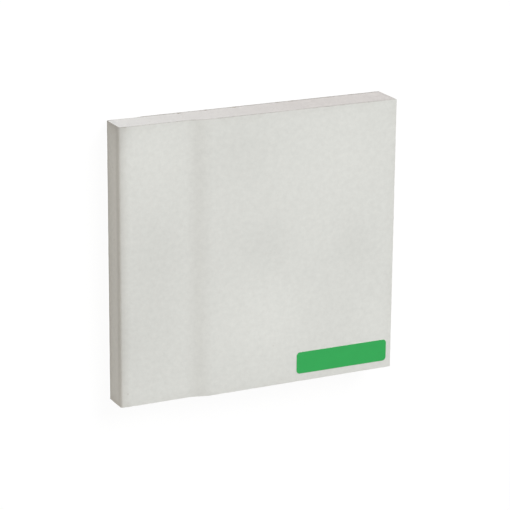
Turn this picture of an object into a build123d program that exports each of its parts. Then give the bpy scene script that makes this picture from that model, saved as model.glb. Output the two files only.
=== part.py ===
from build123d import *
import math
import os

# A piece cut from a sheet of gypsum plasterboard, lying on its back with the face up.
# The -X side is the factory edge: tapered on the face side and bound in the face paper.
# The other three sides are cut square, so they show the core between the two papers.
#
# The origin is the centre of the underside. +X runs from the bound edge to the cut edge opposite,
# +Y runs along the bound edge, and +Z points out of the face. Sizes are in millimetres.

# Board, over both papers and away from the taper
board_width = 100.0
board_length = 95.0
board_thickness = 12.5

# Papers
face_paper_thickness = 0.35
back_paper_thickness = 0.35

# Tapered edge: a flat strip below the face, and a ramp with eased bends that leads up to the face
taper_depth = 1.5
recess_width = 25.0
ramp_width = 5.5
ramp_bend_radius = 15.0

# Bound edge: the shoulder that falls off to it, its two corners, the face paper's flap on the back,
# and the back paper that laps over the flap
shoulder_width = 3.0
shoulder_drop = 0.3
shoulder_bend_radius = 20.0
front_corner_radius = 0.8
back_corner_radius = 1.2
flap_width = 24.0
back_paper_setback = 12.0

# Label, placed by its margins from the two cut edges that it lies beside
label_width = 34.7
label_height = 7.9
label_thickness = 0.1
label_corner_radius = 1.4
label_side_margin = 1.75
label_lower_margin = 2.55
label_turn = -0.2

# Places that several pieces share
bound_edge_x = -board_width / 2
cut_edge_x = board_width / 2
lower_edge_y = -board_length / 2
flap_end_x = bound_edge_x + flap_width
ramp_foot_x = bound_edge_x + recess_width
ramp_top_x = ramp_foot_x + ramp_width
ramp_angle = math.atan2(taper_depth, ramp_width)
recess_z = board_thickness - taper_depth
shoulder_x = bound_edge_x + shoulder_width
shoulder_angle = math.atan2(shoulder_drop, shoulder_width)


def wrapped_line(inset):
    """The line that the face paper follows, seen along +Y, moved into the board by inset.

    It runs from the end of the flap, under the board, round the bound edge, over the shoulder and
    along the recess, up the ramp and over the face to the cut edge. Both sides of the paper come
    from it, so the paper has one thickness all the way and its bends stay concentric.
    """
    ramp_shift = inset * math.tan(ramp_angle / 2)
    shoulder_shift = inset * math.tan(shoulder_angle / 2)
    edge_fall = shoulder_drop + inset * math.tan(math.pi / 4 - shoulder_angle / 2)
    edge_x = bound_edge_x + inset
    flap_z = back_paper_thickness + inset
    corners = [
        (flap_end_x, 0, flap_z),
        (edge_x, 0, flap_z),
        (edge_x, 0, recess_z - edge_fall),
        (shoulder_x + shoulder_shift, 0, recess_z - inset),
        (ramp_foot_x + ramp_shift, 0, recess_z - inset),
        (ramp_top_x + ramp_shift, 0, board_thickness - inset),
        (cut_edge_x, 0, board_thickness - inset),
    ]
    radii = [
        back_corner_radius - inset,
        front_corner_radius - inset,
        shoulder_bend_radius - inset,
        ramp_bend_radius + inset,
        ramp_bend_radius - inset,
    ]
    return FilletPolyline(*corners, radius=radii)


def extruded_section(lines):
    """The solid whose section is the closed outline, over the board's whole length."""
    section = make_face(lines)
    solid = extrude(section, amount=board_length / 2, dir=(0, 1, 0), both=True)
    return solid


def make_gypsum_core():
    """The core: it fills the wrapped paper, and has a shallow step that the flap lies in."""
    wrapped = wrapped_line(face_paper_thickness)
    closing = Polyline(
        wrapped @ 1,
        (cut_edge_x, 0, back_paper_thickness),
        (flap_end_x, 0, back_paper_thickness),
        wrapped @ 0,
    )
    return extruded_section(wrapped.edges() + closing.edges())


def make_face_paper():
    """The face paper, between the wrapped line and the same line moved in by its thickness."""
    outer = wrapped_line(0)
    inner = wrapped_line(face_paper_thickness)
    flap_end = Line(outer @ 0, inner @ 0)
    cut_end = Line(outer @ 1, inner @ 1)
    return extruded_section(outer.edges() + inner.edges() + [flap_end, cut_end])


def make_back_paper():
    """The back paper, flat under the core and over the flap."""
    start_x = bound_edge_x + back_paper_setback
    width = cut_edge_x - start_x
    sheet = Box(width, board_length, back_paper_thickness)
    return Pos((start_x + cut_edge_x) / 2, 0, back_paper_thickness / 2) * sheet


def make_label():
    """The blank label, stuck on the face a little askew."""
    outline = RectangleRounded(label_width, label_height, label_corner_radius)
    centre_x = cut_edge_x - label_side_margin - label_width / 2
    centre_y = lower_edge_y + label_lower_margin + label_height / 2
    place = Pos(centre_x, centre_y, board_thickness) * Rot(0, 0, label_turn)
    return extrude(place * outline, amount=label_thickness)


pieces = {
    "gypsum_core": make_gypsum_core(),
    "face_paper": make_face_paper(),
    "back_paper": make_back_paper(),
    "label": make_label(),
}

os.makedirs("parts", exist_ok=True)
for node, piece in pieces.items():
    export_step(piece, f"parts/{node}.step")
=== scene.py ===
"""Looks of a piece cut from a sheet of gypsum plasterboard, lying on its back with the face up.

The gypsum core, its two papers and the blank label are modelled and finished here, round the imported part.
Lengths are in metres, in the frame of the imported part: X runs from the paper-bound edge to the cut edge
opposite, Y runs along the bound edge and Z points out of the face.
"""
import logging
import math
import random
from dataclasses import dataclass, field
from enum import Enum
from functools import reduce
from typing import ClassVar

import bmesh
import bpy
import numpy as np
from mathutils import Matrix, Vector, noise


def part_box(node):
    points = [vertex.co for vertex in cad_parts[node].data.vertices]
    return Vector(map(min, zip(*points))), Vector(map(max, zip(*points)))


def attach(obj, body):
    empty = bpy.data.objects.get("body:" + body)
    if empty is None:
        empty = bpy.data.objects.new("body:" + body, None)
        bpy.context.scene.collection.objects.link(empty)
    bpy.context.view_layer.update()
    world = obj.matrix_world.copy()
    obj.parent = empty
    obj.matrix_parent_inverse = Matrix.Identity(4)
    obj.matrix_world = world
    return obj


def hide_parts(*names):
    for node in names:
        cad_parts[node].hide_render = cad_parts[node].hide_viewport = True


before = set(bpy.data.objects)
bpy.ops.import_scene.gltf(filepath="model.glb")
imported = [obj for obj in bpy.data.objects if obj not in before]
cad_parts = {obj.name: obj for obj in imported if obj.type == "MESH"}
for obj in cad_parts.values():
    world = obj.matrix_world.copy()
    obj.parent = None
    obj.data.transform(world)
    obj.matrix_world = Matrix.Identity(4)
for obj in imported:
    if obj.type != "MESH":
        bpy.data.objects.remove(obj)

LOG = logging.getLogger("drywall")
MM = 0.001
HAIR = 0.001 * MM
STEP_GROWTH = 0.25
WHITE = (1.0, 1.0, 1.0)


class Ramp(Enum):
    """How a value is turned into a mask."""

    SOFT = "SMOOTHSTEP"
    STRAIGHT = "LINEAR"


class Kind(Enum):
    """The kinds of socket that a shared effect takes and gives."""

    COLOUR = "NodeSocketColor"
    NUMBER = "NodeSocketFloat"


class Slot(Enum):
    """A piece's material slots: one for its broad sides, one for its cut lines or its border."""

    SIDE = 0
    EDGE = 1


Colour = tuple[float, float, float]
Point = tuple[float, float, float]
Socket = bpy.types.NodeSocket
Tint = Colour | Socket
Number = float | Socket
Kinds = dict[str, Kind]


def graded(low: float, high: float, fine: float, coarse: float, band: float) -> list[float]:
    """Places from low to high, close together near both ends and wider apart between them.

    Args:
        low: the first place.
        high: the last place.
        fine: the step at the ends.
        coarse: the widest step.
        band: how far from an end the step stays fine.

    Returns:
        The places in order.
    """
    places = [low]
    while places[-1] < high:
        gap = min(places[-1] - low, high - places[-1])
        step = fine if gap < band else min(coarse, fine + (gap - band) * STEP_GROWTH)
        places.append(places[-1] + step)
    stretch = (high - low) / (places[-1] - low)
    return [low + (place - low) * stretch for place in places]


def quarter_steps(radius: float, turn: int) -> list[float]:
    """How far in from its tangent the points of a quarter circle lie, one for each turn in degrees."""
    return [radius * (1 - math.cos(math.radians(angle))) for angle in range(0, 90, turn)]


def round_corner(before: Vector, corner: Vector, after: Vector, radius: float, step: float) -> list[Vector]:
    """The arc that rounds a corner.

    Args:
        before: the point before the corner.
        corner: the corner itself.
        after: the point after it.
        radius: the arc's radius.
        step: the greatest distance between two of its points.

    Returns:
        The arc's points in order, its two ends among them.
    """
    incoming = (corner - before).normalized()
    outgoing = (after - corner).normalized()
    turn = incoming.angle_signed(outgoing)
    reach = radius * math.tan(abs(turn) / 2)
    side = math.copysign(1.0, turn)
    start = corner - incoming * reach
    centre = start + Vector((incoming.y, -incoming.x)) * side * radius
    count = max(3, math.ceil(radius * abs(turn) / step))
    spoke = start - centre
    return [centre + Matrix.Rotation(-turn * k / count, 2) @ spoke for k in range(count + 1)]


def rumple(u: float, v: float, cut: float, wave: float, octaves: int = 3) -> float:
    """Smooth noise between about -1 and 1: each effect reads it at a cut of its own."""
    return noise.fractal(Vector((u, v, cut)) / wave, 1.0, 2.0, octaves)


def ripple(u: float, v: float, cut: float, wave: float, octaves: int = 3) -> float:
    """The same noise between about 0 and 1."""
    return 0.5 + 0.5 * rumple(u, v, cut, wave, octaves)


def face_swell(x: float, y: float) -> float:
    """How far the face stands above its plane, or below it: the slow swell that cast boards keep."""
    return 0.022 * MM * rumple(x, y, 0.31, 19.0 * MM, 2)


def end_sign(index: int, count: int) -> int:
    """-1 for the first of count places, 1 for the last one and 0 for those between."""
    return int(index == count - 1) - int(index == 0)


@dataclass(frozen=True)
class WrappedLine:
    """The line that the face paper follows round the board's section.

    Args:
        points: (x, z) pairs from the end of the flap, under the board, round the bound edge, along the
            recess, up the ramp and over the face to the cut edge.
        normals: the direction out of the board at each point.
    """

    points: np.ndarray
    normals: np.ndarray

    def inset(self, depth: float) -> np.ndarray:
        """The line's points moved into the board."""
        return self.points - self.normals * depth


@dataclass
class Board:
    """The board's sizes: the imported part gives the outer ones, and the fields give its section.

    Args:
        taper_depth: how far the recess lies below the face.
        recess_width: the flat strip beside the bound edge.
        ramp_width: the slope from the recess up to the face.
        ramp_bend_radius: the easing at the foot and the top of the ramp.
        shoulder_width: the strip beside the bound edge where the recess falls off to it.
        shoulder_drop: how far it falls off.
        shoulder_bend_radius: the easing between the two.
        front_corner_radius: the bound edge's corner at the face.
        back_corner_radius: the bound edge's corner at the back.
        flap_width: how far the face paper goes under the board.
    """

    taper_depth: float = 1.5 * MM
    recess_width: float = 25.0 * MM
    ramp_width: float = 5.5 * MM
    ramp_bend_radius: float = 15.0 * MM
    shoulder_width: float = 3.0 * MM
    shoulder_drop: float = 0.3 * MM
    shoulder_bend_radius: float = 20.0 * MM
    front_corner_radius: float = 0.8 * MM
    back_corner_radius: float = 1.2 * MM
    flap_width: float = 24.0 * MM

    def __post_init__(self) -> None:
        """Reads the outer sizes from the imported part."""
        paper_low, paper_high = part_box("face_paper")
        core_low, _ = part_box("gypsum_core")
        back_low, back_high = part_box("back_paper")
        self.left = paper_low.x
        self.right = paper_high.x
        self.lower = paper_low.y
        self.upper = paper_high.y
        self.face = paper_high.z
        self.face_paper = core_low.x - paper_low.x
        self.back_paper = back_high.z - back_low.z
        self.back_paper_start = back_low.x
        self.flap_end = self.left + self.flap_width
        self.recess = self.face - self.taper_depth
        self.shoulder = self.left + self.shoulder_width
        self.ramp_foot = self.left + self.recess_width
        self.ramp_top = self.ramp_foot + self.ramp_width

    def wrapped_line(self, flat_step: float, bend_step: float) -> WrappedLine:
        """The outer line of the face paper, rounded at its bends.

        Args:
            flat_step: the widest step on the flat stretches.
            bend_step: the widest step round the bends.

        Returns:
            The line.
        """
        corners = [Vector(pair) for pair in (
            (self.flap_end, self.back_paper), (self.left, self.back_paper),
            (self.left, self.recess - self.shoulder_drop), (self.shoulder, self.recess),
            (self.ramp_foot, self.recess), (self.ramp_top, self.face), (self.right, self.face))]
        radii = [self.back_corner_radius, self.front_corner_radius, self.shoulder_bend_radius,
                 self.ramp_bend_radius, self.ramp_bend_radius]
        arcs = [round_corner(*corners[k:k + 3], radius, bend_step) for k, radius in enumerate(radii)]
        stops = [[corners[0]], *arcs, [corners[-1]]]
        points = []
        for arc, following in zip(stops, stops[1:]):
            points.extend(arc)
            run = following[0] - arc[-1]
            inner = graded(0.0, run.length, bend_step, flat_step, bend_step)[1:-1]
            points.extend(arc[-1] + run.normalized() * gone for gone in inner)
        points.append(corners[-1])
        line = np.array([tuple(point) for point in points])
        ahead = np.gradient(line, axis=0)
        ahead /= np.linalg.norm(ahead, axis=1)[:, None]
        return WrappedLine(line, np.stack([-ahead[:, 1], ahead[:, 0]], axis=1))


@dataclass
class Bench:
    """Places and wires nodes in one node tree.

    Args:
        tree: the node tree of a material, a world or a group.
    """

    tree: bpy.types.NodeTree

    def put(self, kind: str, **values: object) -> bpy.types.Node:
        """Adds a node.

        Args:
            kind: the node's type name, without its ShaderNode prefix.
            values: attributes of the node, or values or links for its inputs, by name.

        Returns:
            The node.
        """
        prefix = "" if kind.startswith("NodeGroup") else "ShaderNode"
        node = self.tree.nodes.new(prefix + kind)
        for name, value in values.items():
            self.fill(node, name, value)
        return node

    def fill(self, node: bpy.types.Node, name: str, value: object) -> None:
        """Sets one attribute or one input of a node.

        Args:
            node: the node.
            name: the attribute, or the input with underscores for spaces, or in0, in1 and so on by number.
            value: a plain value, or a socket to link.
        """
        if hasattr(node, name) and not isinstance(value, Socket):
            setattr(node, name, value)
            return
        if name.startswith("in") and name[2:].isdigit():
            socket = node.inputs[int(name[2:])]
        else:
            socket = node.inputs[name.replace("_", " ")]
        if isinstance(value, Socket):
            self.tree.links.new(value, socket)
        elif isinstance(value, tuple) and len(value) == 3 and socket.type == "RGBA":
            socket.default_value = (*value, 1.0)
        else:
            socket.default_value = value

    def math(self, operation: str, *terms: Number) -> Socket:
        """A Math node's result, from its terms in order."""
        values = {f"in{number}": term for number, term in enumerate(terms)}
        return self.put("Math", operation=operation, **values).outputs[0]

    def fold(self, operation: str, *terms: Number) -> Socket:
        """A Math operation carried on through any number of terms."""
        return reduce(lambda done, term: self.math(operation, done, term), terms)

    def mask(self, value: Socket, low: float, high: float, ramp: Ramp = Ramp.SOFT) -> Socket:
        """A value turned into a mask that goes from 0 at low to 1 at high."""
        node = self.put("MapRange", interpolation_type=ramp.value, Value=value, From_Min=low, From_Max=high)
        return node.outputs["Result"]

    def blend(self, share: Number, first: Tint, second: Tint) -> Socket:
        """Two colours mixed, with so great a share of the second."""
        return self.put("Mix", data_type="RGBA", in0=share, in6=first, in7=second).outputs[2]

    def vector(self, operation: str, first: Socket, second: Point | Socket) -> Socket:
        """A Vector Math node's result, from two vectors."""
        return self.put("VectorMath", operation=operation, in0=first, in1=second).outputs[0]

    def scaled(self, vector: Socket, factor: Number) -> Socket:
        """A vector or a colour times a number."""
        return self.put("VectorMath", operation="SCALE", in0=vector, Scale=factor).outputs[0]

    def length(self, vector: Socket) -> Socket:
        """A vector's length."""
        return self.put("VectorMath", operation="LENGTH", in0=vector).outputs["Value"]

    def place(self) -> Socket:
        """The coordinates of the board's frame, in metres."""
        return self.put("TexCoord").outputs["Object"]

    def noise(self, where: Socket, scale: Number, detail: float = 2.0, roughness: float = 0.5) -> Socket:
        """A noise value between about 0 and 1: scale is in waves a metre, and detail in finer octaves."""
        node = self.put("TexNoise", Vector=where, Scale=scale, Detail=detail, Roughness=roughness)
        return node.outputs["Fac"]

    def specks(self, scale: float, radius: float, share: Number) -> tuple[Socket, Socket]:
        """Small round specks, strewn at random.

        Args:
            scale: how many cells each metre has.
            radius: a speck's radius as a share of a cell.
            share: the share of cells that hold a speck.

        Returns:
            The specks' mask, and a value that differs from cell to cell.
        """
        cells = self.put("TexVoronoi", Vector=self.place(), Scale=scale, Randomness=1.0)
        near = self.mask(cells.outputs["Distance"], radius, radius * 0.4)
        split = self.put("SeparateColor", Color=cells.outputs["Color"])
        chosen = self.math("LESS_THAN", split.outputs["Red"], share)
        return self.math("MULTIPLY", near, chosen), split.outputs["Green"]

    def bump(self, height: Socket, depth: float) -> Socket:
        """The normal of a fine relief of the given depth."""
        return self.put("Bump", Height=height, Strength=1.0, Distance=depth).outputs[0]

    def surface(self, **values: object) -> None:
        """Adds the Principled shader, with its inputs by name, and the material's output."""
        shader = self.put("BsdfPrincipled", **values)
        self.put("OutputMaterial", Surface=shader.outputs[0])


def cleared(owner: bpy.types.Material | bpy.types.World) -> Bench:
    """Empties the nodes of a material or a world.

    Args:
        owner: the material or the world.

    Returns:
        A bench on its node tree.
    """
    owner.use_nodes = True
    owner.node_tree.nodes.clear()
    return Bench(owner.node_tree)


@dataclass
class EffectGroup:
    """A shared effect, kept as one node group that every material places with its own values.

    A kind of effect names the group, what it takes and what it gives.
    """

    title: ClassVar[str]
    takes: ClassVar[Kinds]
    gives: ClassVar[Kinds]
    tree: bpy.types.NodeTree = field(init=False)

    def __post_init__(self) -> None:
        """Makes the group's tree, its sockets and its nodes."""
        self.tree = bpy.data.node_groups.new(self.title, "ShaderNodeTree")
        for direction, kinds in (("INPUT", self.takes), ("OUTPUT", self.gives)):
            for name, kind in kinds.items():
                self.tree.interface.new_socket(name=name, in_out=direction, socket_type=kind.value)
        bench = Bench(self.tree)
        given = bench.put("NodeGroupInput").outputs
        bench.put("NodeGroupOutput", **self.wire(bench, given))

    def wire(self, bench: Bench, given: bpy.types.NodeOutputs) -> dict[str, Socket]:
        """Makes the nodes inside the group.

        Args:
            bench: places the nodes.
            given: the group's inputs.

        Returns:
            A socket for each output name.
        """
        raise NotImplementedError

    def use(self, bench: Bench, **values: object) -> bpy.types.NodeOutputs:
        """Places the group in a material, with its inputs by name, and gives its outputs."""
        return bench.put("Group", node_tree=self.tree, **values).outputs


@dataclass
class ToneDrift(EffectGroup):
    """Broad soft clouds that make a colour a little lighter and darker."""

    title: ClassVar[str] = "tone_drift"
    takes: ClassVar[Kinds] = {"Colour": Kind.COLOUR, "Amount": Kind.NUMBER, "Scale": Kind.NUMBER}
    gives: ClassVar[Kinds] = {"Colour": Kind.COLOUR}

    def wire(self, bench: Bench, given: bpy.types.NodeOutputs) -> dict[str, Socket]:
        """Makes the clouds.

        Args:
            bench: places the nodes.
            given: the group's inputs.

        Returns:
            The clouded colour.
        """
        cloud = bench.math("SUBTRACT", bench.noise(bench.place(), given["Scale"], 2.0, 0.45), 0.5)
        gain = bench.math("MULTIPLY_ADD", cloud, given["Amount"], 1.0)
        return {"Colour": bench.scaled(given["Colour"], gain)}


@dataclass
class PaperFibre(EffectGroup):
    """Felted paper: a fine mottle, matted fibres and sparse recycled flecks.

    Args:
        mottle_scale: the mottle's waves for each metre.
        fibre_scale: the fibres for each metre, counted across them.
        fibre_draw: a fibre's width as a share of its length.
        fibre_bend: how far the fibres swing from side to side.
        felt_share: how strongly the fibres colour the paper, beside the mottle.
        fleck_scale: the cells for each metre, of which some hold a fleck.
        fleck_radius: a fleck's radius as a share of a cell.
    """

    title: ClassVar[str] = "paper_fibre"
    takes: ClassVar[Kinds] = {"Colour": Kind.COLOUR, "Fleck Colour": Kind.COLOUR,
                              "Mottle": Kind.NUMBER, "Flecks": Kind.NUMBER}
    gives: ClassVar[Kinds] = {"Colour": Kind.COLOUR, "Height": Kind.NUMBER, "Roughness": Kind.NUMBER}

    mottle_scale: float = 620.0
    fibre_scale: float = 2600.0
    fibre_draw: float = 0.22
    fibre_bend: float = 2.0 * MM
    felt_share: float = 0.6
    fleck_scale: float = 420.0
    fleck_radius: float = 0.16

    def fibres(self, bench: Bench, place: Socket, along: Point) -> Socket:
        """Fibres drawn out along one direction, bent by a slow noise.

        Args:
            bench: places the nodes.
            place: the coordinates.
            along: the factors that draw the noise out.

        Returns:
            The fibres' height.
        """
        bend = bench.put("TexNoise", Vector=place, Scale=self.mottle_scale, Detail=1.0)
        swing = bench.scaled(bend.outputs["Color"], self.fibre_bend)
        drawn = bench.vector("MULTIPLY", bench.vector("ADD", place, swing), along)
        return bench.noise(drawn, self.fibre_scale, 2.0, 0.6)

    def wire(self, bench: Bench, given: bpy.types.NodeOutputs) -> dict[str, Socket]:
        """Makes the mottle, the fibres and the flecks.

        Args:
            bench: places the nodes.
            given: the group's inputs.

        Returns:
            The paper's colour, the height of its fibres and its roughness.
        """
        place = bench.place()
        mottle = bench.noise(place, self.mottle_scale, 3.0, 0.6)
        lengthwise = self.fibres(bench, place, (1.0, self.fibre_draw, 1.0))
        crosswise = self.fibres(bench, place, (self.fibre_draw, 1.0, 1.0))
        felt = bench.math("MULTIPLY_ADD", crosswise, 0.45, bench.math("MULTIPLY", lengthwise, 0.55))
        blot = bench.math("MULTIPLY_ADD", bench.math("SUBTRACT", felt, 0.5), self.felt_share,
                          bench.math("SUBTRACT", mottle, 0.5))
        toned = bench.scaled(given["Colour"], bench.math("MULTIPLY_ADD", blot, given["Mottle"], 1.0))
        specks, strength = bench.specks(self.fleck_scale, self.fleck_radius, given["Flecks"])
        flecked = bench.blend(bench.math("MULTIPLY", specks, strength), toned, given["Fleck Colour"])
        height = bench.math("MULTIPLY_ADD", mottle, 0.4, bench.math("MULTIPLY", felt, 0.6))
        rough = bench.math("MULTIPLY_ADD", felt, 0.12, 0.82)
        return {"Colour": flecked, "Height": height, "Roughness": rough}


@dataclass
class EdgeDirtAndShade(EffectGroup):
    """Dirt, rubbing and painted shade along the board's arrises, worked out from the board's own box: along
    the bound edge it is mostly painted shade, where the face rolls off to the corner and where the edge
    meets the floor.

    Args:
        board: the board's sizes.
        bound_band: how far from the bound edge the amount for it holds.
        patch_scale: the patches of darkening for each metre.
        between: the darkening left between the patches, as a share.
        bound_least: the least darkening at the bound edge, as a share.
        fall: how fast the darkening falls off from an arris: more is faster.
    """

    title: ClassVar[str] = "edge_dirt_and_shade"
    takes: ClassVar[Kinds] = {"Colour": Kind.COLOUR, "Grime": Kind.COLOUR, "Cut Amount": Kind.NUMBER,
                              "Bound Amount": Kind.NUMBER, "Reach": Kind.NUMBER}
    gives: ClassVar[Kinds] = {"Colour": Kind.COLOUR}

    board: Board
    bound_band: float = 4.0 * MM
    patch_scale: float = 160.0
    between: float = 0.2
    bound_least: float = 0.85
    fall: float = 1.6

    def levelled(self, bench: Bench, x: Socket, z: Socket) -> Socket:
        """The height, with the recess raised to the face, so that both arrises of the bound edge are alike.

        Args:
            bench: places the nodes.
            x: the place along X.
            z: the height.

        Returns:
            The raised height.
        """
        board = self.board
        recessed = bench.mask(x, board.ramp_top, board.ramp_foot)
        upper = bench.mask(z, board.face * 0.4, board.face * 0.6)
        return bench.math("MULTIPLY_ADD", bench.math("MULTIPLY", recessed, upper), board.taper_depth, z)

    def wire(self, bench: Bench, given: bpy.types.NodeOutputs) -> dict[str, Socket]:
        """Makes the mask: the middle one of the three distances to the box is the distance to an arris.

        Args:
            bench: places the nodes.
            given: the group's inputs.

        Returns:
            The colour, darkened near the arrises by dirt and painted shade.
        """
        board = self.board
        middle = board.face / 2
        x, y, z = bench.put("SeparateXYZ", Vector=bench.place()).outputs
        height = bench.math("SUBTRACT", self.levelled(bench, x, z), middle)
        gaps = [bench.math("SUBTRACT", half, bench.math("ABSOLUTE", place))
                for half, place in ((board.right, x), (board.upper, y), (middle, height))]
        least, most = bench.fold("MINIMUM", *gaps), bench.fold("MAXIMUM", *gaps)
        arris = bench.fold("SUBTRACT", bench.fold("ADD", *gaps), least, most)
        near = bench.math("SUBTRACT", 1.0, bench.math("DIVIDE", arris, given["Reach"]))
        near = bench.math("POWER", bench.math("MAXIMUM", near, 0.0), self.fall)
        patchy = bench.mask(bench.noise(bench.place(), self.patch_scale, 3.0, 0.6), 0.3, 0.75)
        patchy = bench.math("MULTIPLY_ADD", patchy, 1.0 - self.between, self.between)
        bound = bench.mask(x, board.left + self.bound_band, board.left + self.bound_band * 0.6)
        even = bench.math("MAXIMUM", patchy, bench.math("MULTIPLY", bound, self.bound_least))
        extra = bench.math("SUBTRACT", given["Bound Amount"], given["Cut Amount"])
        amount = bench.math("MULTIPLY_ADD", bound, extra, given["Cut Amount"])
        # How much the colour darkens near the arrises: mostly painted shade at the bound edge, and the cut
        # amount elsewhere
        mask = bench.fold("MULTIPLY", near, even, amount)
        return {"Colour": bench.blend(mask, given["Colour"], given["Grime"])}


@dataclass(frozen=True)
class Effects:
    """The board that is dressed, and the shared effects, built once for it.

    Args:
        board: the board's sizes.
        drift: broad clouds.
        fibre: felted paper.
        edges: arrises darkened by dirt and painted shade.
    """

    board: Board
    drift: ToneDrift
    fibre: PaperFibre
    edges: EdgeDirtAndShade


@dataclass(frozen=True)
class SoftPatch:
    """A broad place where a paper is a little lighter or darker.

    Args:
        x: its middle along X, in millimetres.
        y: its middle along Y, in millimetres.
        width: how far it goes from its middle along X, in millimetres.
        length: how far it goes along Y, in millimetres.
        gain: how much lighter it is, as a share; less than 0 is darker.
        z: its middle along Z, in millimetres.
        height: how far it goes along Z, in millimetres.
    """

    x: float
    y: float
    width: float
    length: float
    gain: float
    z: float = 0.0
    height: float = math.inf

    def tone(self, bench: Bench) -> Socket:
        """Its gain at each point, which fades out towards its border.

        Args:
            bench: places the nodes.

        Returns:
            The gain.
        """
        middle = (self.x * MM, self.y * MM, self.z * MM)
        reach = (self.width * MM, self.length * MM, self.height * MM)
        shifted = bench.vector("SUBTRACT", bench.place(), middle)
        distance = bench.length(bench.vector("MULTIPLY", shifted, tuple(1 / half for half in reach)))
        return bench.math("MULTIPLY", bench.mask(distance, 1.0, 0.0), self.gain)


@dataclass(frozen=True)
class Finish:
    """A finish, which is built as one material.

    Args:
        title: the material's name.
    """

    title: str

    def material(self, effects: Effects) -> bpy.types.Material:
        """Builds the material.

        Args:
            effects: the shared effects.

        Returns:
            The material.
        """
        made = bpy.data.materials.new(self.title)
        self.dress(cleared(made), effects)
        return made

    def dress(self, bench: Bench, effects: Effects) -> None:
        """Makes the material's nodes.

        Args:
            bench: places the nodes.
            effects: the shared effects.
        """
        raise NotImplementedError


@dataclass(frozen=True)
class PaperFinish(Finish):
    """A felted paper.

    Args:
        colour: the paper's colour.
        fleck: the colour of the recycled flecks.
        mottle: how strong the fine mottle is.
        flecks: the share of cells that hold a fleck.
        drift: how strong the broad clouds are.
        grime: the colour blended in along the arrises: dirt on the cut arrises, painted shade along the
            bound edge.
        edge_darkened: how strong that is on the cut arrises.
        bound_dirt_and_shade: how strong it is on the bound arrises, where it is mostly painted shade.
        reach: how far from an arris it goes.
        relief: the depth of the fibres.
        patches: the broad places that are lighter or darker.
    """

    colour: Colour
    fleck: Colour
    mottle: float = 0.10
    flecks: float = 0.05
    drift: float = 0.05
    grime: Colour = (0.42, 0.39, 0.34)
    edge_darkened: float = 0.12
    bound_dirt_and_shade: float = 0.36
    reach: float = 3.8 * MM
    relief: float = 0.02 * MM
    patches: tuple[SoftPatch, ...] = ()

    def dress(self, bench: Bench, effects: Effects) -> None:
        """Makes the paper's nodes.

        Args:
            bench: places the nodes.
            effects: the shared effects.
        """
        clouded = effects.drift.use(bench, Colour=self.colour, Amount=self.drift, Scale=38.0)
        felted = effects.fibre.use(bench, Colour=clouded["Colour"], Fleck_Colour=self.fleck,
                                   Mottle=self.mottle, Flecks=self.flecks)
        # Dirt on the cut arrises and painted shade along the bound edge darken the colour
        edge_darkened = effects.edges.use(bench, Colour=felted["Colour"], Grime=self.grime, Reach=self.reach,
                                    Cut_Amount=self.edge_darkened, Bound_Amount=self.bound_dirt_and_shade)
        colour = edge_darkened["Colour"]
        if self.patches:
            tones = [patch.tone(bench) for patch in self.patches]
            colour = bench.scaled(colour, bench.fold("ADD", 1.0, *tones))
        bench.surface(Base_Color=colour, Roughness=felted["Roughness"], Specular_IOR_Level=0.25,
                      Normal=bench.bump(felted["Height"], self.relief))


@dataclass(frozen=True)
class PlyFinish(Finish):
    """The cut line of a paper, where its grey inner plies show.

    Args:
        pale: the colour of the outer ply.
        grey: the colour of the inner plies.
        grime: the colour of the painted shade on the cut lines beside the bound edge.
        bound_dirt_and_shade: how strong the painted shade is there.
        reach: how far from an arris it goes.
        tear_scale: the torn places for each metre.
        relief: how far they stand out.
    """

    pale: Colour
    grey: Colour
    grime: Colour = (0.26, 0.245, 0.22)
    bound_dirt_and_shade: float = 0.9
    reach: float = 3.8 * MM
    tear_scale: float = 900.0
    relief: float = 0.03 * MM

    def dress(self, bench: Bench, effects: Effects) -> None:
        """Makes the cut line's nodes.

        Args:
            bench: places the nodes.
            effects: the shared effects.
        """
        torn = bench.mask(bench.noise(bench.place(), self.tear_scale, 3.0, 0.65), 0.35, 0.7)
        plies = bench.blend(torn, self.grey, self.pale)
        clouded = effects.drift.use(bench, Colour=plies, Amount=0.25, Scale=220.0)
        # Painted shade on the cut lines beside the bound edge, and none along the cut arrises
        edge_darkened = effects.edges.use(bench, Colour=clouded["Colour"], Grime=self.grime, Reach=self.reach,
                                    Cut_Amount=0.0, Bound_Amount=self.bound_dirt_and_shade)
        bench.surface(Base_Color=edge_darkened["Colour"], Roughness=0.92, Specular_IOR_Level=0.2,
                      Normal=bench.bump(torn, self.relief))


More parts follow.
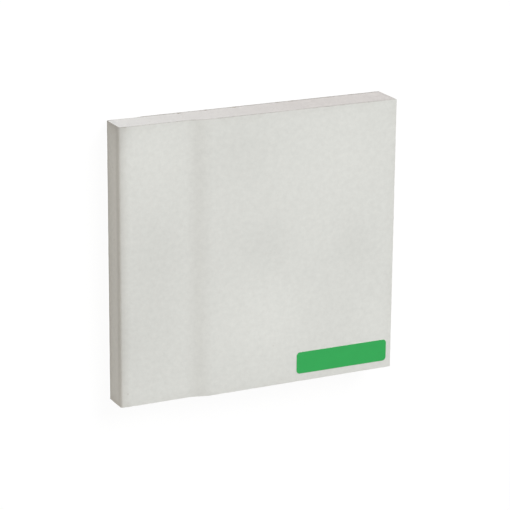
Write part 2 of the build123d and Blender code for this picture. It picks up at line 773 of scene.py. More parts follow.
@dataclass(frozen=True)
class GypsumFinish(Finish):
    """Cast gypsum, cut dry: chalky and pinkish white, with painted shade in its pores, chips and pinholes.

    Args:
        bound: the core's colour at the bound edge, paler and less pink; it grades into the other colour
            further in.
        colour: the colour of the core away from there.
        pore: the colour of the painted shade deep in a pore or a chip, and in a pinhole.
        dust: the colour of fine dust left by the cut.
        own_colour_from: where the core has its own colour, as a share of the cut edge's place.
        lint_and_shade: the colour of paper lint, and of painted shade, along the papers, away from the bound
            edge.
        lint_shaded: how strong it is.
        lint_and_shade_reach: how far from the board's arris it goes.
        pore_depths: the depths below the cut where the painted shade in a pore starts, and is darkest.
        pinhole_scale: the cells for each metre, of which some hold a pinhole.
        pinhole_radius: a pinhole's radius as a share of a cell.
        pinholes: the share of cells that hold one.
        grain_scale: the grains for each metre.
        dust_scale: the patches of dust for each metre.
        dusted: how strong the dust is.
        relief: the depth of the grains.
    """

    bound: Colour
    colour: Colour
    pore: Colour
    dust: Colour
    own_colour_from: float = 0.34
    lint_and_shade: Colour = (0.40, 0.38, 0.36)
    lint_shaded: float = 0.6
    lint_and_shade_reach: float = 1.8 * MM
    pore_depths: tuple[float, float] = (0.14 * MM, 0.5 * MM)
    pinhole_scale: float = 1300.0
    pinhole_radius: float = 0.2
    pinholes: float = 0.45
    grain_scale: float = 3200.0
    dust_scale: float = 700.0
    dusted: float = 0.35
    relief: float = 0.06 * MM

    def dress(self, bench: Bench, effects: Effects) -> None:
        """Makes the gypsum's nodes. The mesh holds each point's depth below the cut as cut_depth.

        Args:
            bench: places the nodes.
            effects: the shared effects.
        """
        board = effects.board
        place = bench.place()
        x = bench.put("SeparateXYZ", Vector=place).outputs["X"]
        inward = bench.mask(x, board.left, board.right * self.own_colour_from, Ramp.STRAIGHT)
        cast = bench.blend(inward, self.bound, self.colour)
        clouded = effects.drift.use(bench, Colour=cast, Amount=0.08, Scale=120.0)
        # Paper lint, and painted shade, darken the core beside the papers, fading out towards the bound edge
        lint_shade_share = bench.math("MULTIPLY", inward, self.lint_shaded)
        lint_shaded = effects.edges.use(bench, Colour=clouded["Colour"], Grime=self.lint_and_shade, Cut_Amount=lint_shade_share,
                                    Bound_Amount=0.0, Reach=self.lint_and_shade_reach)
        # Painted shade in the hollows: the colour darkens where the mesh lies deep below the cut, and in the
        # pinholes
        depth = bench.put("Attribute", attribute_name="cut_depth").outputs["Fac"]
        deep = bench.mask(depth, *self.pore_depths)
        holes, _ = bench.specks(self.pinhole_scale, self.pinhole_radius, self.pinholes)
        hollow_shade = bench.math("MAXIMUM", deep, bench.math("MULTIPLY", holes, 0.7))
        pore_shaded = bench.blend(hollow_shade, lint_shaded["Colour"], self.pore)
        dusty = bench.mask(bench.noise(place, self.dust_scale, 3.0, 0.6), 0.5, 0.78)
        powdered = bench.blend(bench.math("MULTIPLY", dusty, self.dusted), pore_shaded, self.dust)
        grains = bench.noise(place, self.grain_scale, 3.0, 0.7)
        pitted = bench.math("MULTIPLY_ADD", holes, -1.4, grains)
        rough = bench.math("MULTIPLY_ADD", grains, 0.08, 0.88)
        bench.surface(Base_Color=powdered, Roughness=rough, Specular_IOR_Level=0.2,
                      Normal=bench.bump(pitted, self.relief))


@dataclass(frozen=True)
class StickerFinish(Finish):
    """Printed film with a soft sheen.

    Args:
        colour: the ink or the bare film.
        sheen: the weight of the clear varnish.
        grain_scale: the print's grains for each metre.
        scuff_scale: the scuffs for each metre.
        relief: the depth of the print's grain.
    """

    colour: Colour
    sheen: float = 0.15
    grain_scale: float = 5200.0
    scuff_scale: float = 500.0
    relief: float = 0.006 * MM

    def dress(self, bench: Bench, effects: Effects) -> None:
        """Makes the film's nodes.

        Args:
            bench: places the nodes.
            effects: the shared effects.
        """
        place = bench.place()
        clouded = effects.drift.use(bench, Colour=self.colour, Amount=0.12, Scale=260.0)
        drawn = bench.vector("MULTIPLY", place, (1.0, 6.0, 1.0))
        scuffs = bench.mask(bench.noise(drawn, self.scuff_scale, 3.0, 0.6), 0.55, 0.8)
        rough = bench.math("MULTIPLY_ADD", scuffs, 0.18, 0.42)
        print_grain = bench.noise(place, self.grain_scale, 2.0, 0.5)
        bench.surface(Base_Color=clouded["Colour"], Roughness=rough, Specular_IOR_Level=0.28,
                      Coat_Weight=self.sheen, Coat_Roughness=0.3,
                      Normal=bench.bump(print_grain, self.relief))


@dataclass
class MeshPlan:
    """Vertices and faces that are gathered before a mesh is made."""

    vertices: list[Point] = field(default_factory=list)
    faces: list[tuple[int, ...]] = field(default_factory=list)
    slots: list[int] = field(default_factory=list)
    depths: list[float] = field(default_factory=list)
    sharp_angle: float = math.radians(48)

    def add(self, point: Point, depth: float = 0.0) -> int:
        """Adds a vertex.

        Args:
            point: where it is.
            depth: how far it lies below the cut.

        Returns:
            Its number.
        """
        self.vertices.append(point)
        self.depths.append(depth)
        return len(self.vertices) - 1

    def face(self, corners: list[int], slot: Slot) -> None:
        """Adds one face, with its vertices in order."""
        self.faces.append(tuple(corners))
        self.slots.append(slot.value)

    def skin(self, rows: list[list[int]], slot: Slot) -> None:
        """Fills a grid of vertices with four-sided faces.

        Args:
            rows: the grid's vertex numbers, row by row.
            slot: the material slot.
        """
        for row, following in zip(rows, rows[1:]):
            for k in range(len(row) - 1):
                self.face([row[k], row[k + 1], following[k + 1], following[k]], slot)

    def make(self, title: str, *materials: bpy.types.Material) -> bpy.types.Object:
        """Makes the object.

        Args:
            title: the object's name.
            materials: one for each slot.

        Returns:
            The object, linked into the scene.
        """
        mesh = bpy.data.meshes.new(title)
        mesh.from_pydata(self.vertices, [], self.faces)
        for material in materials:
            mesh.materials.append(material)
        mesh.polygons.foreach_set("material_index", self.slots)
        depth = mesh.attributes.new("cut_depth", "FLOAT", "POINT")
        depth.data.foreach_set("value", self.depths)
        work = bmesh.new()
        work.from_mesh(mesh)
        bmesh.ops.recalc_face_normals(work, faces=work.faces)
        work.to_mesh(mesh)
        work.free()
        mesh.polygons.foreach_set("use_smooth", [True] * len(self.faces))
        mesh.set_sharp_from_angle(angle=self.sharp_angle)
        mesh.update()
        made = bpy.data.objects.new(title, mesh)
        bpy.context.scene.collection.objects.link(made)
        return made


@dataclass
class BoardPiece:
    """A piece of the board.

    Args:
        board: the board's sizes.
        effects: the shared effects.
    """

    board: Board
    effects: Effects

    def build(self) -> bpy.types.Object:
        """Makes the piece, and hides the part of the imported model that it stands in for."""
        raise NotImplementedError


@dataclass(frozen=True)
class CutRelief:
    """The relief of one dry cut through the gypsum: grain, saw drag, pores and chips beside the papers.

    Args:
        seed: what this cut's pores and noise start from.
        grain: how far the fine grain goes in.
        grain_wave: the grain's longest wave.
        waviness: how far the broad waves go in.
        broad_wave: their longest wave.
        drag: the depth of the saw's marks.
        drag_pitch: how far apart the marks are.
        drag_run: how long a mark runs.
        drag_lean: how far the marks lean along the cut.
        pores: how many pores each square millimetre has.
        largest_pore: the radius of the largest pore.
        smallest_pore: the smallest pore's radius as a share of that.
        pore_depth: a pore's depth as a share of its radius.
        chip: how far the core is broken back beside a paper.
        chip_wave: the longest wave of the broken line.
        chip_least: the noise above which the core is broken.
        chip_reach: how far from a paper that goes.
    """

    seed: int
    grain: float = 0.045 * MM
    grain_wave: float = 0.9 * MM
    waviness: float = 0.06 * MM
    broad_wave: float = 7.0 * MM
    drag: float = 0.02 * MM
    drag_pitch: float = 0.45 * MM
    drag_run: float = 16.0 * MM
    drag_lean: float = 0.35
    pores: float = 0.10
    largest_pore: float = 0.48 * MM
    smallest_pore: float = 0.4
    pore_depth: float = 0.6
    chip: float = 0.44 * MM
    chip_wave: float = 3.2 * MM
    chip_least: float = 0.18
    chip_reach: float = 0.5 * MM

    def depths(self, along: np.ndarray, across: np.ndarray, margin: np.ndarray) -> np.ndarray:
        """How far each point of the cut lies below the plane of the cut.

        Args:
            along: each point's place along the cut.
            across: each point's place through the thickness.
            margin: each point's distance to the nearest paper.

        Returns:
            The depths, never negative.
        """
        along, across, margin = np.broadcast_arrays(along, across, margin)
        depth = np.zeros(along.shape)
        shift = self.seed * 0.37
        for index in np.ndindex(along.shape):
            u, v = along[index], across[index]
            fine = ripple(u, v, shift, self.grain_wave)
            broad = ripple(u, v, shift + 0.1, self.broad_wave, 2)
            mark = Vector(((u + v * self.drag_lean) / self.drag_pitch, v / self.drag_run, shift))
            broken = max(0.0, rumple(u, v * 0.2, shift + 0.2, self.chip_wave) - self.chip_least)
            near = math.exp(-margin[index] / self.chip_reach)
            depth[index] = (self.grain * fine + self.waviness * broad
                            + self.drag * (0.5 + 0.5 * noise.noise(mark)) + self.chip * broken * near)
        return np.maximum(depth + self.pitting(along, across), 0.0)

    def pitting(self, along: np.ndarray, across: np.ndarray) -> np.ndarray:
        """The depths of the pores alone.

        Args:
            along: each point's place along the cut.
            across: each point's place through the thickness.

        Returns:
            The depths.
        """
        dice = random.Random(self.seed)
        low, high = along.min(), along.max()
        floor, ceiling = across.min(), across.max()
        depth = np.zeros(along.shape)
        count = int((high - low) * (ceiling - floor) / MM ** 2 * self.pores)
        for _ in range(count):
            u, v = dice.uniform(low, high), dice.uniform(floor, ceiling)
            growth = (1.0 - self.smallest_pore) * dice.random() ** 3
            radius = self.largest_pore * (self.smallest_pore + growth)
            columns = np.where(np.abs(along[:, 0] - u) < radius)[0]
            if len(columns) == 0:
                continue
            window = slice(columns[0], columns[-1] + 1)
            spread = ((along[window] - u) ** 2 + (across[window] - v) ** 2) / radius ** 2
            bowl = np.sqrt(np.clip(1.0 - spread, 0.0, 1.0)) * radius * self.pore_depth
            depth[window] = np.maximum(depth[window], bowl)
        return depth


@dataclass
class GypsumCore(BoardPiece):
    """The gypsum core, bare on its three cut sides.

    Args:
        finish: the gypsum's finish.
        grid: the step between two points of a cut side.
        seam: the width of the hidden strip that joins the papered sides to the cut edge.
        outline_step: the widest step of the outline on its flat stretches.
        bend_step: the widest step round its bends.
        edge_cut: the relief of the cut edge.
        lower_cut: the relief of the lower cut end.
        upper_cut: the relief of the upper cut end.
    """

    finish: GypsumFinish = GypsumFinish(
        "gypsum", bound=(0.778, 0.784, 0.786), colour=(0.696, 0.677, 0.675), pore=(0.56, 0.52, 0.50),
        dust=(0.80, 0.78, 0.77))
    grid: float = 0.28 * MM
    seam: float = 1.5 * MM
    outline_step: float = 0.5 * MM
    bend_step: float = 0.1 * MM
    edge_cut: CutRelief = CutRelief(seed=3)
    lower_cut: CutRelief = CutRelief(seed=10)
    upper_cut: CutRelief = CutRelief(seed=12)

    def section(self) -> tuple[np.ndarray, np.ndarray, np.ndarray]:
        """The core's section as columns.

        Returns:
            The places of the columns along X, and the underside and the upper side at each.
        """
        board = self.board
        line = board.wrapped_line(self.outline_step, self.bend_step).inset(board.face_paper)
        left = line[:, 0].min()
        on_edge = np.where(line[:, 0] < left + HAIR)[0]
        under = line[:on_edge[0] + 1][::-1]
        over = line[on_edge[-1]:]
        radius = board.front_corner_radius - board.face_paper
        bends = [left + gone for gone in quarter_steps(radius, 9)]
        count = math.ceil((board.right - left - radius) / self.grid)
        flats = np.linspace(left + radius, board.right, count + 1)
        columns = np.array(sorted([*bends, *flats, board.flap_end - HAIR, board.flap_end + HAIR]))
        lower = np.interp(columns, under[:, 0], under[:, 1])
        lower[columns > board.flap_end] = board.back_paper
        upper = np.interp(columns, over[:, 0], over[:, 1])
        return columns, lower, upper

    def build(self) -> bpy.types.Object:
        """Makes the core.

        Returns:
            The object.
        """
        board = self.board
        columns, lower, upper = self.section()
        rows = math.ceil((board.face - board.face_paper) / self.grid)
        across = lower[:, None] + (upper - lower)[:, None] * np.linspace(0.0, 1.0, rows + 1)
        margin = np.minimum(across - lower[:, None], upper[:, None] - across)
        steps = math.ceil((board.upper - board.lower) / self.grid)
        stations = np.linspace(board.lower, board.upper, steps + 1)
        edge_depth = self.edge_cut.depths(stations[:, None], across[-1], margin[-1])

        plan = MeshPlan()
        ends = []
        for cut, plane, inward, edge_row in ((self.lower_cut, board.lower, 1, edge_depth[0]),
                                             (self.upper_cut, board.upper, -1, edge_depth[-1])):
            depth = cut.depths(columns[:, None], across, margin)
            pull = np.zeros(depth.shape)
            pull[-1] = edge_row
            ends.append([[plan.add((x - pull[i, k], plane + inward * depth[i, k], across[i, k]),
                                   max(depth[i, k], pull[i, k])) for k in range(rows + 1)]
                         for i, x in enumerate(columns)])
            plan.skin(ends[-1], Slot.SIDE)

        first, last = ends
        edge = [[plan.add((board.right - depth, y, z), depth) for depth, z in zip(row, across[-1])]
                for y, row in zip(stations[1:-1], edge_depth[1:-1])]
        plan.skin([first[-1], *edge, last[-1]], Slot.SIDE)
        plan.skin([first[0], last[0]], Slot.SIDE)
        joint = int(np.searchsorted(columns, board.right - self.seam))
        for row in (0, rows):
            near = [column[row] for column in first]
            far = [column[row] for column in last]
            plan.skin([near[:joint + 1], far[:joint + 1]], Slot.SIDE)
            plan.face(near[joint:] + [column[row] for column in edge] + far[joint:][::-1], Slot.SIDE)

        core = plan.make("core", self.finish.material(self.effects))
        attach(core, "root")
        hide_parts("gypsum_core")
        return core


@dataclass
class Paper(BoardPiece):
    """What both papers have: a finish, plies that show at the cut lines, and how finely they are stepped.

    Args:
        finish: the paper's finish.
        ply: the finish of its cut lines.
        step: the widest step between two points.
        fine_step: the step beside the cut lines and at the bends.
        fine_band: how far from a cut line the step stays fine.
        fray: how far a cut line wanders.
        fray_wave: the longest wave of its wandering.
    """

    finish: PaperFinish
    ply: PlyFinish
    step: float
    fine_step: float
    fine_band: float = 0.8 * MM
    fray: float = 0.09 * MM
    fray_wave: float = 1.6 * MM

    def places(self, low: float, high: float) -> list[float]:
        """Places from one edge of the paper to the other, closer together beside both."""
        return graded(low, high, self.fine_step, self.step, self.fine_band)

    def frayed(self, u: float, v: float, cut: float) -> float:
        """How far a cut line lies inside the true one."""
        return self.fray * ripple(u, v, cut, self.fray_wave)

    def cut_ends(self, plan: MeshPlan, outer: list[list[int]], inner: list[list[int]]) -> None:
        """Fills the cut lines at the lower and the upper end.

        Args:
            plan: the mesh being gathered.
            outer: the outer side's columns, each from the lower to the upper end.
            inner: the lower and the upper vertex of each column of the inner side.
        """
        for end in (0, -1):
            plan.skin([[column[end] for column in outer], [pair[end] for pair in inner]], Slot.EDGE)

    def make(self, plan: MeshPlan, title: str) -> bpy.types.Object:
        """Makes the object, with the finishes of its sides and its cut lines."""
        return plan.make(title, self.finish.material(self.effects), self.ply.material(self.effects))


@dataclass
class FacePaper(Paper):
    """The face paper: over the face, round the bound edge and a little way onto the back.

    Args:
        burr: how far the cut line is turned up.
        burr_wave: the longest wave along the burr.
        burr_reach: how far from the cut line it goes.
        crinkle: the depth of the small folds on the bound edge.
        crinkle_wave: their longest wave.
        crinkle_reach: how far from the bound edge they go.
    """

    finish: PaperFinish = PaperFinish(
        "face_paper", colour=(0.701, 0.715, 0.690), fleck=(0.60, 0.60, 0.565), mottle=0.16, flecks=0.02,
        drift=0.03, patches=(
            # Broad clouds on the face and the recess, and painted shade down the ramp
            SoftPatch(-38, 36, 15, 22, 0.030),
            SoftPatch(-42, -12, 18, 50, -0.035),
            SoftPatch(30, 28, 34, 30, 0.032),
            SoftPatch(-8, 36, 20, 18, -0.032),
            SoftPatch(2, 3, 17, 13, -0.030),
            SoftPatch(36, -2, 12, 13, -0.030),
            SoftPatch(1, -24, 27, 25, 0.055),
            # Painted shade down the ramp, its whole length
            SoftPatch(-22.4, 0, 4.8, 2000, -0.006),
            SoftPatch(17, 5, 15, 18, 0.024),
            SoftPatch(-34, 4, 15, 16, -0.024),
            SoftPatch(44, -30, 12, 14, 0.030),
            # Darker at the bound edge, its front corner and its ends: painted shade along the front corner,
            # and a painted contact shadow low on the side near the upper end
            SoftPatch(-49, -26, 8, 16, -0.045, z=11, height=5),
            SoftPatch(-49.3, 12, 1.6, 75, -0.055, z=11, height=1.6),
            SoftPatch(-50, 10, 1.2, 100, -0.10, z=9.2, height=1.5),
            SoftPatch(-50, 49, 7, 15, -0.12, z=8, height=14),
            SoftPatch(-50, 48, 2, 12, -0.10, z=0.6, height=2.4),
        ))
    ply: PlyFinish = PlyFinish("face_paper_cut", pale=(0.62, 0.61, 0.58), grey=(0.40, 0.39, 0.365))
    step: float = 0.55 * MM
    fine_step: float = 0.22 * MM
    burr: float = 0.05 * MM
    burr_wave: float = 2.2 * MM
    burr_reach: float = 0.35 * MM
    crinkle: float = 0.035 * MM
    crinkle_wave: float = 4.0 * MM
    crinkle_reach: float = 1.2 * MM

    def outward(self, x: float, y: float, z: float) -> float:
        """How far a point of the outer side stands out of the true line.

        Args:
            x: the point's place along X.
            y: the point's place along Y.
            z: the point's height.

        Returns:
            The distance, positive or negative.
        """
        board = self.board
        swell = face_swell(x, y) if z > board.face / 2 else 0.0
        bound = math.exp(-(x - board.left) / self.crinkle_reach)
        folds = self.crinkle * bound * rumple(y, z * 0.6, 0.53, self.crinkle_wave)
        cut_gap = min(y - board.lower, board.upper - y, board.right - x)
        turned = math.exp(-cut_gap / self.burr_reach)
        return swell + folds + self.burr * turned * (0.4 + rumple(x, y, 0.77, self.burr_wave))

    def build(self) -> bpy.types.Object:
        """Makes the paper.

        Returns:
            The object.
        """
        board = self.board
        line = board.wrapped_line(self.step, self.fine_step)
        inner_line = line.inset(board.face_paper)
        stations = self.places(board.lower, board.upper)
        last = len(line.points) - 1
        half_fray = self.fray * 0.5
        inner_ends = (board.lower + half_fray, board.upper - half_fray)
        plan = MeshPlan()
        outer, inner = [], []
        for i, ((x, z), (nx, nz), (ix, iz)) in enumerate(zip(line.points, line.normals, inner_line)):
            column = []
            for j, y in enumerate(stations):
                push = self.outward(x, y, z)
                side = end_sign(j, len(stations))
                wander = self.frayed(x, z, 0.9 + side)
                tuck = self.frayed(y, z, 0.63) if i == last else 0.0
                column.append(plan.add((x + nx * push - tuck, y - side * wander, z + nz * push)))
            outer.append(column)
            inner_x = ix - half_fray if i == last else ix
            inner.append([plan.add((inner_x, y, iz)) for y in inner_ends])
        rim = [plan.add((board.right - half_fray, y, inner_line[last][1])) for y in stations[1:-1]]
        rim = [inner[last][0], *rim, inner[last][1]]

        plan.skin(outer, Slot.SIDE)
        plan.skin(inner[:last], Slot.SIDE)
        plan.face([*inner[last - 1], *rim[::-1]], Slot.SIDE)
        self.cut_ends(plan, outer, inner)
        plan.skin([outer[last], rim], Slot.EDGE)
        plan.face([*outer[0], *inner[0][::-1]], Slot.EDGE)

        paper = self.make(plan, "face_liner")
        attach(paper, "root")
        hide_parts("face_paper")
        return paper


@dataclass
class BackPaper(Paper):
    """The back paper: flat under the core, lapped over the face paper's flap.

    Args:
        lap_wander: how far the lapped edge wanders.
        lap_wave: the longest wave of that.
        slack: how far the paper lies above the floor in places.
        slack_wave: how far apart those places are.
    """

    finish: PaperFinish = PaperFinish(
        "back_paper", colour=(0.470, 0.440, 0.395), fleck=(0.22, 0.20, 0.18), mottle=0.22, flecks=0.22,
        drift=0.08)
    ply: PlyFinish = PlyFinish("back_paper_cut", pale=(0.38, 0.36, 0.335), grey=(0.22, 0.21, 0.195))
    step: float = 0.7 * MM
    fine_step: float = 0.25 * MM
    lap_wander: float = 0.25 * MM
    lap_wave: float = 14.0 * MM
    slack: float = 0.03 * MM
    slack_wave: float = 13.0 * MM

    def edge_shift(self, end: int, y: float) -> float:
        """How far the lapped edge (end -1) or the cut edge (end 1) is moved along X.

        Args:
            end: which edge it is, or 0 between the two.
            y: the place along Y.

        Returns:
            The distance.
        """
        if end < 0:
            return self.lap_wander * ripple(y, 0.0, 0.21, self.lap_wave)
        return -self.frayed(y, 0.0, 0.43) if end > 0 else 0.0

    def build(self) -> bpy.types.Object:
        """Makes the paper.

        Returns:
            The object.
        """
        board = self.board
        columns = self.places(board.back_paper_start, board.right)
        stations = self.places(board.lower, board.upper)
        plan = MeshPlan()
        outer = []
        for i, x in enumerate(columns):
            column = []
            for j, y in enumerate(stations):
                shift = self.edge_shift(end_sign(i, len(columns)), y)
                side = end_sign(j, len(stations))
                wander = self.frayed(x, 0.0, 0.8 + side)
                edge = min(y - board.lower, board.upper - y, x - board.back_paper_start)
                lift = self.slack * ripple(x, y, 0.11, self.slack_wave, 2) * min(1.0, edge / MM)
                column.append(plan.add((x + shift, y - side * wander, lift)))
            outer.append(column)
        inner = [self.raised(plan, [column[0], column[-1]]) for column in outer]
        lap_rim, cut_rim = ([inner[end][0], *self.raised(plan, outer[end][1:-1]), inner[end][1]]
                            for end in (0, -1))

        plan.skin(outer, Slot.SIDE)
        plan.skin(inner[1:-1], Slot.SIDE)
        plan.face([*lap_rim, *inner[1][::-1]], Slot.SIDE)
        plan.face([*inner[-2], *cut_rim[::-1]], Slot.SIDE)
        self.cut_ends(plan, outer, inner)
        plan.skin([outer[0], lap_rim], Slot.EDGE)
        plan.skin([outer[-1], cut_rim], Slot.EDGE)

        paper = self.make(plan, "back_liner")
        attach(paper, "root")
        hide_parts("back_paper")
        return paper

    def raised(self, plan: MeshPlan, numbers: list[int]) -> list[int]:
        """Adds a vertex of the inner side straight above each of some vertices, and gives their numbers."""
        return [plan.add((*plan.vertices[number][:2], self.board.back_paper)) for number in numbers]


@dataclass
class BlankLabel(BoardPiece):
    """The green sticker on the face, with nothing printed on it.

    Args:
        ink: the finish of its printed part.
        film: the finish of its bare border.
        width: along the cut edge that it lies beside.
        height: across it.
        corner: the radius of its corners.
        turn: how far it is turned on the face.
        bevel: how far the film's upper edge is rounded off.
        rim: the bare strip of film round the ink.
        step: the widest step between two points.
    """

    ink: StickerFinish = StickerFinish("label_ink", colour=(0.024, 0.378, 0.085), sheen=0.10)
    film: StickerFinish = StickerFinish("label_film", colour=(0.60, 0.66, 0.60), sheen=0.05)
    width: float = 34.7 * MM
    height: float = 7.9 * MM
    corner: float = 1.4 * MM
    turn: float = math.radians(-0.2)
    bevel: float = 0.03 * MM
    rim: float = 0.12 * MM
    step: float = 0.6 * MM

    def __post_init__(self) -> None:
        """Reads the label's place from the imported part."""
        low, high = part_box("label")
        self.middle = (low + high) / 2
        self.top = high.z - self.board.face
        self.spin = Matrix.Rotation(self.turn, 2)

    def ink_row(self, v: float) -> list[float]:
        """The ink's points along one row.

        Args:
            v: the row's distance from the label's middle line.

        Returns:
            The points' places along the label.
        """
        radius = self.corner - self.rim
        over = max(0.0, abs(v) - (self.height / 2 - self.rim - radius))
        half = self.width / 2 - self.rim - radius + math.sqrt(max(radius ** 2 - over ** 2, 0.0))
        count = math.ceil(self.width / self.step)
        return [half * (2 * k / count - 1) for k in range(count + 1)]

    def laid(self, u: float, v: float, lift: float) -> Point:
        """A point of the flat label, turned and laid on the face.

        Args:
            u: its place along the label.
            v: its place across the label.
            lift: its height over the face.

        Returns:
            The point in the board's frame.
        """
        turned = self.spin @ Vector((u, v))
        x, y = self.middle.x + turned.x, self.middle.y + turned.y
        return (x, y, self.board.face + lift + face_swell(x, y))

    def pushed_out(self, point: Point, inset: float, lift: float) -> Point:
        """A point of the ink's border, moved straight out to a ring nearer the film's edge.

        Args:
            point: the border point, in the board's frame.
            inset: how far inside the outline the ring lies.
            lift: the ring's height over the face.

        Returns:
            The moved point.
        """
        local = self.spin.inverted() @ Vector((point[0] - self.middle.x, point[1] - self.middle.y))
        core = (self.width / 2 - self.corner, self.height / 2 - self.corner)
        anchor = Vector([max(-most, min(most, place)) for most, place in zip(core, local)])
        moved = anchor + (local - anchor).normalized() * (self.corner - inset)
        return self.laid(moved.x, moved.y, lift)

    def build(self) -> bpy.types.Object:
        """Makes the label.

        Returns:
            The object.
        """
        half = self.height / 2
        bends = [half - self.rim - gone for gone in quarter_steps(self.corner - self.rim, 10)]
        upper_rows = {*graded(0.0, half - self.corner, self.step, self.step, 0.0), *bends}
        rows = sorted({-row for row in upper_rows} | upper_rows)
        plan = MeshPlan()
        ink = [[plan.add(self.laid(u, v, self.top)) for u in self.ink_row(v)] for v in rows]
        between = ink[1:-1]
        border = ink[0] + [row[-1] for row in between] + ink[-1][::-1] + [row[0] for row in between][::-1]
        rings = [border]
        for inset, lift in ((self.bevel, self.top), (0.0, self.top - self.bevel), (0.0, 0.0)):
            rings.append([plan.add(self.pushed_out(plan.vertices[number], inset, lift))
                          for number in border])
        plan.skin(ink, Slot.SIDE)
        plan.skin([ring + ring[:1] for ring in rings], Slot.EDGE)
        plan.face(rings[-1], Slot.EDGE)

        label = plan.make("blank_label", self.ink.material(self.effects), self.film.material(self.effects))
        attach(label, "root")
        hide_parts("label")
        return label


@dataclass(frozen=True)
class SoftLamp:
    """A square soft light that points at the board.

    Args:
        title: its name.
        place: where it stands.
        size: its side.
        power: its power in watts.
        colour: its colour.
    """

    title: str
    place: Point
    size: float
    power: float
    colour: Colour = WHITE

    def build(self) -> None:
        """Makes the light."""
        light = bpy.data.lights.new(self.title, "AREA")
        light.shape = "SQUARE"
        light.size = self.size
        light.energy = self.power
        light.color = self.colour
        made = bpy.data.objects.new(self.title, light)
        made.location = self.place
        made.rotation_euler = (-Vector(self.place)).to_track_quat("-Z", "Y").to_euler()
        bpy.context.scene.collection.objects.link(made)


@dataclass(frozen=True)
class UprightCamera:
    """The camera, above and to the left of the board, with the board's length upright in the picture.

    Args:
        lens: its focal length in millimetres.
        sensor: its sensor's width in millimetres.
        place: where it stands, in millimetres.
        target: what it looks at, in millimetres.
        roll: how far it is turned about its own axis.
    """

    lens: float = 163.3
    sensor: float = 36.0
    place: Point = (-322.8, 226.6, 669.8)
    target: Point = (-2.3, -0.4, 12.5)
    roll: float = math.radians(0.44)

    def build(self) -> None:
        """Makes the camera."""
        data = bpy.data.cameras.new("camera")
        data.sensor_width = self.sensor
        data.lens = self.lens
        camera = bpy.data.objects.new("camera", data)
        place = Vector(self.place) * MM
        back = (place - Vector(self.target) * MM).normalized()
        up = (Vector((0.0, 1.0, 0.0)) - back * back.y).normalized()
        right = up.cross(back)
        level = Matrix((right, up, back)).transposed().to_4x4()
        camera.matrix_world = Matrix.Translation(place) @ level @ Matrix.Rotation(self.roll, 4, "Z")
        bpy.context.scene.collection.objects.link(camera)
        bpy.context.scene.camera = camera


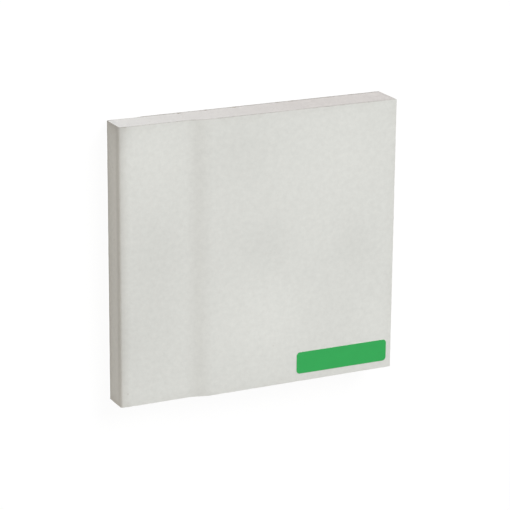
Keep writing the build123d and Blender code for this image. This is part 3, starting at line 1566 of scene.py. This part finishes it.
@dataclass
class Studio:
    """The pale floor, the even sky, the soft lights and the camera.

    Args:
        board: the board's sizes.
        floor_size: the floor's side.
        floor_drop: how far the floor lies under the board.
        floor_bounce: how much light the floor gives back to the board.
        floor_shade: the share of the floor's look that a shadow can darken.
        floor_glow: the share that nothing darkens.
        shadow_reach: the distances from the middle over which the floor fades to plain white.
        hole_inset: how far inside the board's outline the floor is open, so that light reaches the back.
        sky: the strength of the even light from all round.
        sky_colour: its colour.
        camera: the camera.
        lamps: the key light, high beyond the upper cut edge, and weak ones on the shaded sides and below.
    """

    board: Board
    floor_size: float = 6.0
    floor_drop: float = 0.02 * MM
    floor_bounce: Colour = (0.62, 0.60, 0.57)
    floor_shade: float = 0.10
    floor_glow: float = 0.92
    shadow_reach: tuple[float, float] = (0.09, 0.22)
    hole_inset: float = 0.15 * MM
    sky: float = 0.42
    sky_colour: Colour = (1.0, 0.985, 0.96)
    camera: UprightCamera = UprightCamera()
    lamps: tuple[SoftLamp, ...] = (
        SoftLamp("key", (0.80, 1.50, 1.68), 1.4, 41.0),
        SoftLamp("side_fill", (-1.1, 0.1, 0.45), 0.8, 2.15, (1.0, 0.85, 0.75)),
        SoftLamp("low_fill", (0.35, -1.6, 0.45), 0.8, 4.5),
        SoftLamp("back_fill", (-0.3, -0.5, -1.6), 0.8, 10.0),
    )

    def build(self) -> None:
        """Makes all of it."""
        self.camera.build()
        self.build_floor()
        self.build_sky()
        for lamp in self.lamps:
            lamp.build()

    def seen_directly(self, bench: Bench) -> Socket:
        """A mask that is 1 for the camera and for reflections, and 0 for light that falls on the object.

        Args:
            bench: places the nodes.

        Returns:
            The mask.
        """
        path = bench.put("LightPath").outputs
        rays = (path["Is Camera Ray"], path["Is Glossy Ray"], path["Is Transmission Ray"])
        return bench.fold("MAXIMUM", *rays)

    def floor_material(self) -> bpy.types.Material:
        """The floor's material: white from above with a soft shadow near the board, and clear from below.

        Returns:
            The material.
        """
        made = bpy.data.materials.new("floor")
        bench = cleared(made)
        bounce = bench.put("BsdfDiffuse", Color=self.floor_bounce)
        shade = bench.put("BsdfDiffuse", Color=(self.floor_shade,) * 3)
        glow = bench.put("Emission", Color=WHITE, Strength=self.floor_glow)
        near = bench.put("AddShader", in0=shade.outputs[0], in1=glow.outputs[0])
        far = bench.put("Emission", Color=WHITE, Strength=1.0)
        fade = bench.mask(bench.length(bench.place()), *self.shadow_reach)
        shown = bench.put("MixShader", in0=fade, in1=near.outputs[0], in2=far.outputs[0])
        direct = self.seen_directly(bench)
        upper = bench.put("MixShader", in0=direct, in1=bounce.outputs[0], in2=shown.outputs[0])
        clear = bench.put("BsdfTransparent")
        under = bench.put("NewGeometry").outputs["Backfacing"]
        mixed = bench.put("MixShader", in0=under, in1=upper.outputs[0], in2=clear.outputs[0])
        bench.put("OutputMaterial", Surface=mixed.outputs[0])
        return made

    def build_floor(self) -> None:
        """Makes the floor, open under the board."""
        plan = MeshPlan()
        far = self.floor_size / 2
        board = self.board
        across = (-far, board.left + self.hole_inset, board.right - self.hole_inset, far)
        along = (-far, board.lower + self.hole_inset, board.upper - self.hole_inset, far)
        grid = [[plan.add((x, y, -self.floor_drop)) for y in along] for x in across]
        for i, j in np.ndindex(3, 3):
            if (i, j) != (1, 1):
                plan.face([grid[i][j], grid[i + 1][j], grid[i + 1][j + 1], grid[i][j + 1]], Slot.SIDE)
        floor = plan.make("floor", self.floor_material())
        if floor.data.polygons[0].normal.z < 0:
            floor.data.flip_normals()

    def build_sky(self) -> None:
        """Makes the world: even soft light, white where it is seen."""
        world = bpy.data.worlds.new("sky")
        bench = cleared(world)
        lit = bench.put("Background", Color=self.sky_colour, Strength=self.sky)
        white = bench.put("Background", Color=WHITE, Strength=1.0)
        direct = self.seen_directly(bench)
        mixed = bench.put("MixShader", in0=direct, in1=lit.outputs[0], in2=white.outputs[0])
        bench.put("OutputWorld", Surface=mixed.outputs[0])
        bpy.context.scene.world = world


def main() -> None:
    """Builds the studio and the four pieces of the sheet."""
    logging.basicConfig(level=logging.INFO, format="%(name)s: %(message)s")
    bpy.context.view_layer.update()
    bpy.context.scene.view_settings.view_transform = "Standard"
    board = Board()
    Studio(board).build()
    effects = Effects(board, ToneDrift(), PaperFibre(), EdgeDirtAndShade(board))
    for maker in (GypsumCore, FacePaper, BackPaper, BlankLabel):
        piece = maker(board, effects).build()
        LOG.info("%s: %d vertices, %d faces", piece.name, len(piece.data.vertices), len(piece.data.polygons))


if __name__ == "__main__":
    main()
